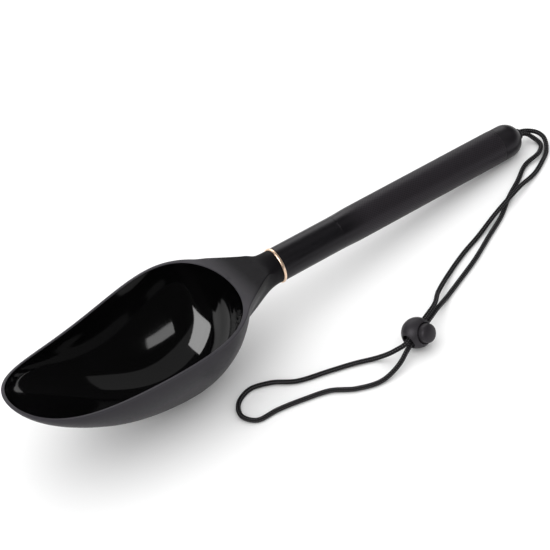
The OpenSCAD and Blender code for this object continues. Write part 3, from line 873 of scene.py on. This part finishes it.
ball = [(10 * -math.cos(a), 10 * math.sin(a)) for a in np.linspace(0, math.pi, 61)]
ball_o = z_lathe(ball)
bore = z_lathe([(-7, 0), (-7, 6.28), (6.0, 6.28), (6.5, 6.62), (6.9, 6.95), (7.3, 7.5), (12, 7.5), (12, 0)])


def dish(x):
    o = z_lathe([(-math.cos(a), math.sin(a)) for a in np.linspace(0, math.pi, 33)], 64)
    o.data.transform(Matrix(((3.4, 0, 0, x), (0, 6.8, 0, 0), (0, 0, 5.2, -1.4), (0, 0, 0, 1))))
    return o



pocket = z_lathe([(-8.5, 0), (-8.5, 3.4), (-6, 3.4), (-6, 0)])
me = carve(ball_o, [bore, pocket, dish(10.2), dish(-10.2), stadium(5.0, 3.4, -20, 20, -1.4)], 0.18, 4, "lock_ball")
place(me, "lock_ball", lock_m, "cord_lock", ["lock_body"], LOCK)
plung = z_lathe([(-3.8, 0), (-3.8, 5.8), (-3.4, 6.2), (9.6, 6.2), (10.15, 6.12), (10.65, 5.92), (11.1, 5.6), (11.5, 5.2), (11.9, 4.6), (12.2, 4.0), (12.45, 3.2), (12.65, 2.4), (12.8, 1.2), (12.85, 0)])
me = carve(plung, [stadium(4.4, 3.2, -20, 20, 1.4)], 0.16, 3, "lock_plunger")
place(me, "lock_plunger", lock_m, "plunger", ["lock_button"], BUTTON)

# spring: fine wire, closed end turns
sp_r, sp_w, turns, sn = 2.8, 0.25, 4.0, 260
z_a, z_b = -8.2, -4.1
uu = np.linspace(0, 1, sn)
zz = z_a + (z_b - z_a) * (sstep((uu - 0.12) / 0.76) * 0.86 + 0.14 * uu)
aa = 2 * math.pi * turns * uu
cc = np.stack([sp_r * np.cos(aa), sp_r * np.sin(aa), zz], 1)
tt = np.gradient(cc, axis=0)
tt /= np.linalg.norm(tt, axis=1)[:, None]
rr = np.stack([np.cos(aa), np.sin(aa), aa * 0], 1)
bb = np.cross(tt, rr)
ph = np.linspace(0, 2 * math.pi, 12, endpoint=False)
sp = cc[:, None] + sp_w * (np.cos(ph)[None, :, None] * rr[:, None] + np.sin(ph)[None, :, None] * bb[:, None])
spv = np.concatenate([sp.reshape(-1, 3), cc[:1], cc[-1:]])
spf = [(i * 12 + j, i * 12 + (j + 1) % 12, (i + 1) * 12 + (j + 1) % 12, (i + 1) * 12 + j) for i in range(sn - 1) for j in range(12)]
spf += [(sn * 12, (j + 1) % 12, j) for j in range(12)] + [(sn * 12 + 1, (sn - 1) * 12 + j, (sn - 1) * 12 + (j + 1) % 12) for j in range(12)]
m3 = np.array(lock_m)[:3, :3]
spw = spv @ m3.T + np.array(lock_m)[:3, 3]
spring = new_mesh("lock_coil_spring", spw, spf, "cord_lock", ["lock_spring"], [STEEL])
bm = bmesh.new()
bm.from_mesh(spring.data)
bmesh.ops.recalc_face_normals(bm, faces=bm.faces)
bm.to_mesh(spring.data)
bm.free()
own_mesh(spring)

# internal CAD nodes keep their shape and take a finish
for node_name, mat in (("neck_spigot", ALLOY), ("cord_knot", CORD)):
    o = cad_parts[node_name]
    o.data.materials.clear()
    o.data.materials.append(mat)

exit_p = lay([nub_x, cord_y, 0])
i0 = int(np.argmin(np.linalg.norm(line * MM - exit_p, axis=1)))
end_p = lay([nub_x, -cord_y, 0])
print("cord length mm", round(cord_len, 1), "exit", [round(float(x), 4) for x in exit_p])

# ------------------------------------------------------------------ floor, light, world
fm = Mat("floor_pale")
fn = fm.noise(3.0, 2.0)
fm.link(fm.mix(fn, (0.925, 0.925, 0.925), (0.935, 0.935, 0.934)), fm.b.inputs["Base Color"])
fm.val(fm.b, "Roughness", 0.9)
fm.val(fm.b, "Specular IOR Level", 0.1)
me = bpy.data.meshes.new("floor")
S = 6.0
me.from_pydata([(-S, -S, -0.0002), (S, -S, -0.0002), (S, S, -0.0002), (-S, S, -0.0002)], [], [(0, 1, 2, 3)])
me.materials.append(fm.m)
floor = bpy.data.objects.new("floor", me)
scene.collection.objects.link(floor)

world = bpy.data.worlds.new("studio")
scene.world = world
world.use_nodes = True
wt = world.node_tree
wt.nodes.clear()
wo = wt.nodes.new("ShaderNodeOutputWorld")
bg = wt.nodes.new("ShaderNodeBackground")
bg.inputs[0].default_value = (1, 1, 1, 1)
lp = wt.nodes.new("ShaderNodeLightPath")
m1 = wt.nodes.new("ShaderNodeMix")
wt.links.new(lp.outputs["Is Glossy Ray"], m1.inputs[0])
m1.inputs[2].default_value = 1.05
m1.inputs[3].default_value = 0.03
mx = wt.nodes.new("ShaderNodeMix")
wt.links.new(lp.outputs["Is Camera Ray"], mx.inputs[0])
wt.links.new(m1.outputs[0], mx.inputs[2])
mx.inputs[3].default_value = 0.98
wt.links.new(mx.outputs[0], bg.inputs[1])
wt.links.new(bg.outputs[0], wo.inputs[0])


def area(name, loc, target, size, power, size_y=None, glossy=True, color=(1, 1, 1)):
    ld = bpy.data.lights.new(name, "AREA")
    ld.shape = "RECTANGLE"
    ld.size, ld.size_y = size, size_y or size
    ld.energy = power
    ld.color = color
    o = bpy.data.objects.new(name, ld)
    scene.collection.objects.link(o)
    o.location = loc
    o.rotation_mode = "QUATERNION"
    o.rotation_quaternion = (Vector(target) - Vector(loc)).to_track_quat("-Z", "Y")
    o.visible_glossy = glossy
    return o


def aimed(name, az_deg, el_deg, dist, size, power, size_y, roll=0.0, at=(-0.085, 0.022, 0.018)):
    a, e = math.radians(az_deg), math.radians(el_deg)
    d = Vector((math.cos(e) * math.cos(a), math.cos(e) * math.sin(a), math.sin(e)))
    o = area(name, Vector(at) + d * dist, at, size, power, size_y)
    o.rotation_quaternion = o.rotation_quaternion @ Quaternion((0, 0, 1), math.radians(roll))
    return o


area("fill_top", (0.0, 0.0, 2.2), (0, 0, 0), 3.0, 22.0, glossy=False)
# the two windows that show in the bowl, one by the camera and one off to the left, and a faint panel overhead
for o in (aimed("box_front", -87.0, 34.5, 1.5, 0.86, 1.5, 0.18, -14.0),
          aimed("box_left", -175.0, 43.0, 1.5, 0.98, 23.5, 1.15),
          area("panel_top", (-0.45, -0.45, 1.5), (-0.45, -0.45, 0), 5.3, 5.8, 1.2),
          area("box_rear", (0.5, 1.6, 1.0), (0.05, 0, 0), 2.2, 19.0, 1.2)):
    o.visible_diffuse = False

scene.view_settings.view_transform = "Standard"
scene.view_settings.look = "None"
